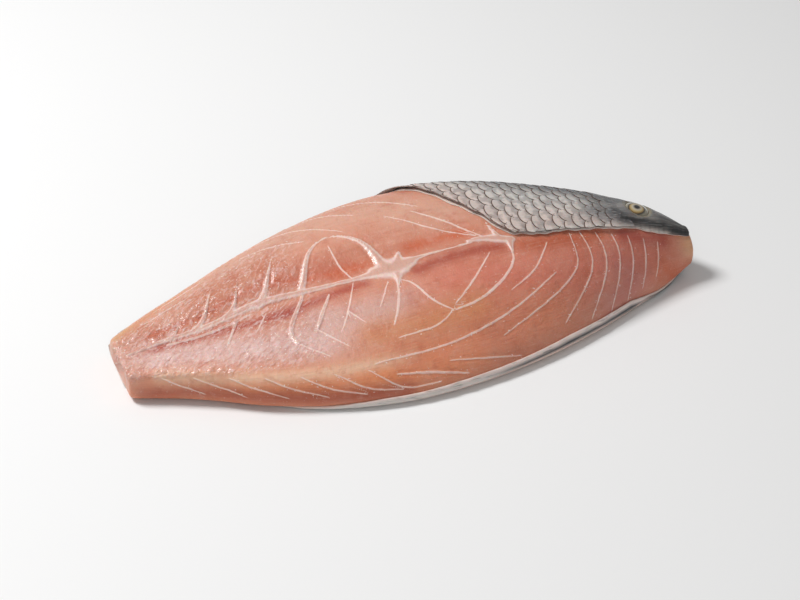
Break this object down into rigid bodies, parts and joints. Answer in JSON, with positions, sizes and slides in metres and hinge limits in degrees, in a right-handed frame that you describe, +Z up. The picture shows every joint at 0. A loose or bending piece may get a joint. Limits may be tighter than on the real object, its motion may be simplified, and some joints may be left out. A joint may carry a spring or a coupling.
{
  "type": "raw fish fillet",
  "caption": "Raw fish fillet lying skin side down: a lens-shaped block of pink muscle with white tissue, scaled skin wrapping its underside and back, and an eye in the skin of the head.",
  "frame": {"origin": "middle of the bounding box, on the plane that the skin's underside rests on", "axes": "+X along the fillet from the tail cut to the snout, +Y towards the back of the fish, +Z up"},
  "size_m": [0.2696, 0.1202, 0.0425],
  "materials": {
    "flesh": "wet translucent muscle with white connective tissue",
    "skin": "wet silver-grey scales with dark edges",
    "eye": "clear wet cornea over a golden-brown iris"
  },
  "bodies": {
    "root": {"flesh": "flesh", "skin": "skin", "eye": "eye"}
  },
  "joints": []
}
